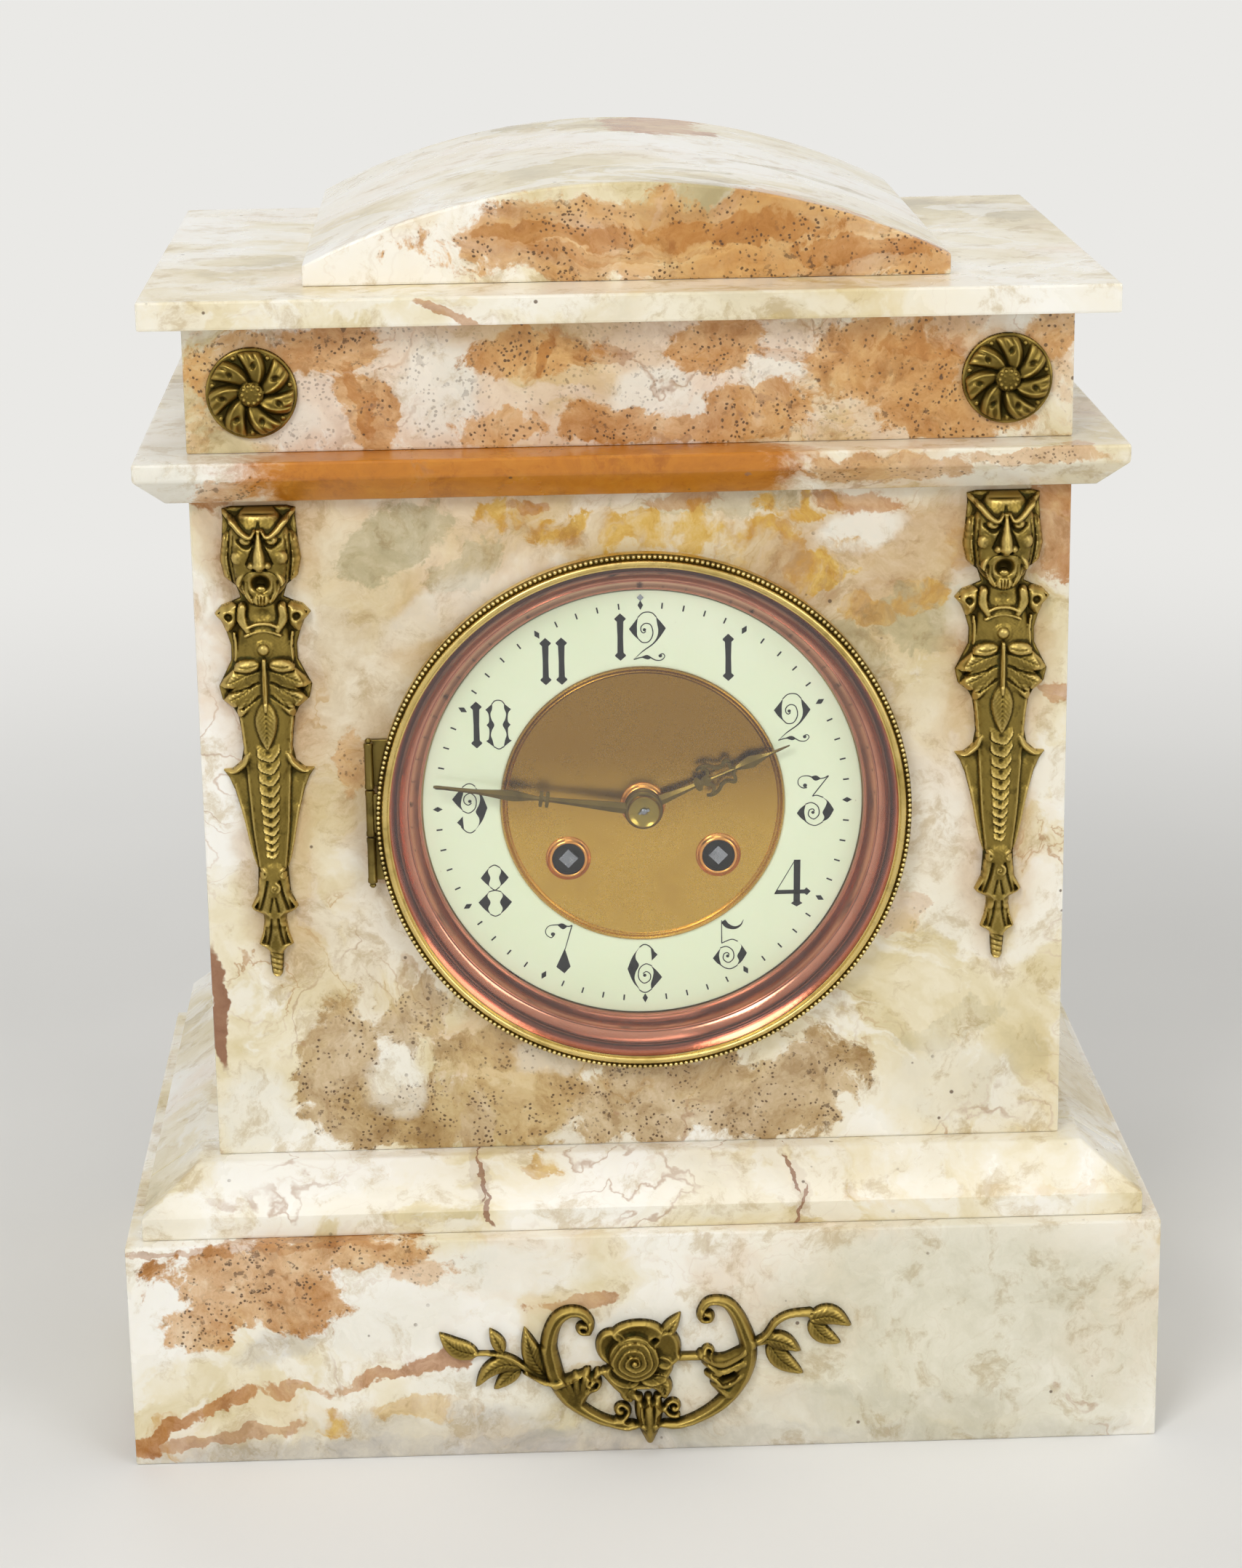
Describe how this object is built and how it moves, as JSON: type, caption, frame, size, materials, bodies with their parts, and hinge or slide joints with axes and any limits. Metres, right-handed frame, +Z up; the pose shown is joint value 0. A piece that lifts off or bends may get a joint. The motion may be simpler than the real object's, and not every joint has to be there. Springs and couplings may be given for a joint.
{
  "type": "mantel clock",
  "caption": "Onyx mantel clock: stepped plinth, square body with round glazed dial door, arched pediment and cast brass mounts, with a geared spring movement, pendulum and gong.",
  "frame": {"origin": "middle of the plinth's underside", "axes": "+X to the viewer's right, the dial faces -Y, +Z up"},
  "size_m": [0.279, 0.2137, 0.3405],
  "materials": {
    "onyx": "polished",
    "onyx_tan": "polished",
    "core": "matte",
    "mount_brass": "satin",
    "gilt_brass": "polished",
    "copper": "satin",
    "crystal": "gloss",
    "enamel": "gloss",
    "hand_brass": "satin",
    "movement_brass": "satin",
    "steel": "satin"
  },
  "bodies": {
    "case": {"plinth_front": "onyx", "plinth_left": "onyx", "plinth_right": "onyx", "base_core": "core", "step_front": "onyx", "step_left": "onyx", "step_right": "onyx", "body_front": "onyx", "body_left": "onyx", "body_right": "onyx", "body_back": "onyx", "cornice": "onyx_tan", "frieze": "onyx_tan", "top_slab": "onyx", "pediment": "onyx", "rosette_left": "mount_brass", "rosette_right": "mount_brass", "term_left": "mount_brass", "term_right": "mount_brass", "rose_mount": "mount_brass", "case_ring": "gilt_brass", "dial_plate": "movement_brass", "chapter_ring": "enamel", "dial_centre": "gilt_brass", "grommet_left": "copper", "grommet_right": "copper", "grommet_centre": "copper", "front_plate": "movement_brass", "back_plate": "movement_brass", "going_click": "steel", "strike_click": "steel", "suspension_cock": "movement_brass", "gong": "steel", "rear_ring": "gilt_brass", "tie_screw_left": "steel", "tie_screw_right": "steel"},
    "bezel_door": {"bezel_ring": "gilt_brass", "bezel_glass": "crystal", "rehaut": "copper"},
    "rear_door": {"rear_door": "gilt_brass"},
    "minute_hand": {"minute_hand": "hand_brass", "hand_collet": "hand_brass", "cannon_pinion": "movement_brass"},
    "hour_hand": {"hour_hand": "hand_brass", "hour_wheel": "movement_brass"},
    "minute_wheel": {"minute_wheel": "movement_brass"},
    "third_wheel": {"third_wheel": "movement_brass"},
    "centre_wheel": {"centre_wheel": "movement_brass"},
    "intermediate_wheel": {"intermediate_wheel": "movement_brass"},
    "going_barrel": {"going_barrel": "movement_brass"},
    "escape_wheel": {"escape_wheel": "movement_brass"},
    "strike_wheel": {"strike_wheel": "movement_brass"},
    "strike_barrel": {"strike_barrel": "movement_brass"},
    "pin_wheel": {"pin_wheel": "movement_brass"},
    "going_winding_arbor": {"going_winding_arbor": "steel"},
    "strike_winding_arbor": {"strike_winding_arbor": "steel"},
    "hammer": {"hammer": "steel"},
    "pendulum": {"pendulum": "movement_brass"},
    "pallets": {"pallets": "steel"},
    "regulator_arbor": {"regulator_arbor": "steel"}
  },
  "joints": [
    {"name": "bezel_door_hinge", "type": "hinge", "parent": "case", "child": "bezel_door", "pos_m": [-0.0706, -0.073, 0.1775], "axis": [0, 0, -1], "range_deg": [0, 120]},
    {"name": "rear_door_hinge", "type": "hinge", "parent": "case", "child": "rear_door", "pos_m": [0.0686, 0.1068, 0.1753], "axis": [0, 0, -1], "range_deg": [0, 120]},
    {"name": "minute_hand_turn", "type": "hinge", "parent": "case", "child": "minute_hand", "pos_m": [0.002, -0.069, 0.1753], "axis": [0, 1, 0], "continuous": true},
    {"name": "hour_hand_turn", "type": "hinge", "parent": "case", "child": "hour_hand", "pos_m": [0.002, -0.0665, 0.1753], "axis": [0, 1, 0], "continuous": true},
    {"name": "minute_wheel_turn", "type": "hinge", "parent": "case", "child": "minute_wheel", "pos_m": [-0.00839, -0.055, 0.1813], "axis": [0, 1, 0], "continuous": true},
    {"name": "third_wheel_turn", "type": "hinge", "parent": "case", "child": "third_wheel", "pos_m": [-0.00677, -0.03, 0.1882], "axis": [0, 1, 0], "continuous": true},
    {"name": "centre_wheel_turn", "type": "hinge", "parent": "case", "child": "centre_wheel", "pos_m": [0.002, -0.03, 0.1753], "axis": [0, 1, 0], "continuous": true},
    {"name": "intermediate_wheel_turn", "type": "hinge", "parent": "case", "child": "intermediate_wheel", "pos_m": [0.01676, -0.03, 0.18198], "axis": [0, 1, 0], "continuous": true},
    {"name": "going_barrel_turn", "type": "hinge", "parent": "case", "child": "going_barrel", "pos_m": [0.0222, -0.03, 0.1606], "axis": [0, 1, 0], "continuous": true},
    {"name": "escape_wheel_turn", "type": "hinge", "parent": "case", "child": "escape_wheel", "pos_m": [0.002, -0.03, 0.1987], "axis": [0, 1, 0], "continuous": true},
    {"name": "strike_wheel_turn", "type": "hinge", "parent": "case", "child": "strike_wheel", "pos_m": [-0.03086, -0.03, 0.17867], "axis": [0, 1, 0], "continuous": true},
    {"name": "strike_barrel_turn", "type": "hinge", "parent": "case", "child": "strike_barrel", "pos_m": [-0.0182, -0.03, 0.1606], "axis": [0, 1, 0], "continuous": true},
    {"name": "pin_wheel_turn", "type": "hinge", "parent": "case", "child": "pin_wheel", "pos_m": [-0.02526, -0.03, 0.18837], "axis": [0, 1, 0], "continuous": true},
    {"name": "going_winding", "type": "hinge", "parent": "case", "child": "going_winding_arbor", "pos_m": [0.0222, -0.03, 0.1606], "axis": [0, 1, 0], "range_deg": [0, 1440]},
    {"name": "strike_winding", "type": "hinge", "parent": "case", "child": "strike_winding_arbor", "pos_m": [-0.0182, -0.03, 0.1606], "axis": [0, 1, 0], "range_deg": [0, 1440]},
    {"name": "hammer_swing", "type": "hinge", "parent": "case", "child": "hammer", "pos_m": [-0.0355, 0, 0.1958], "axis": [0, 1, 0], "range_deg": [0, 15], "stiffness_Nm_per_rad": 0.01},
    {"name": "pendulum_swing", "type": "hinge", "parent": "case", "child": "pendulum", "pos_m": [0.002, -0.0015, 0.2118], "axis": [0, 1, 0], "range_deg": [-4, 4]},
    {"name": "pallets_swing", "type": "hinge", "parent": "case", "child": "pallets", "pos_m": [0.002, -0.02, 0.2118], "axis": [0, 1, 0], "range_deg": [-4, 4]},
    {"name": "regulator_turn", "type": "hinge", "parent": "case", "child": "regulator_arbor", "pos_m": [0.002, -0.03, 0.2323], "axis": [0, 1, 0], "range_deg": [-1080, 1080]}
  ],
  "couplings": [
    {"joint": "hour_hand_turn", "follows": "minute_hand_turn", "ratio": 0.083333},
    {"joint": "minute_wheel_turn", "follows": "minute_hand_turn", "ratio": -0.33333},
    {"joint": "centre_wheel_turn", "follows": "third_wheel_turn", "ratio": -0.083333},
    {"joint": "intermediate_wheel_turn", "follows": "third_wheel_turn", "ratio": 0.010417},
    {"joint": "going_barrel_turn", "follows": "third_wheel_turn", "ratio": -0.0017361},
    {"joint": "escape_wheel_turn", "follows": "third_wheel_turn", "ratio": -11.667},
    {"joint": "strike_barrel_turn", "follows": "strike_wheel_turn", "ratio": -0.16667},
    {"joint": "pin_wheel_turn", "follows": "strike_wheel_turn", "ratio": -6},
    {"joint": "pallets_swing", "follows": "pendulum_swing", "ratio": 1}
  ]
}
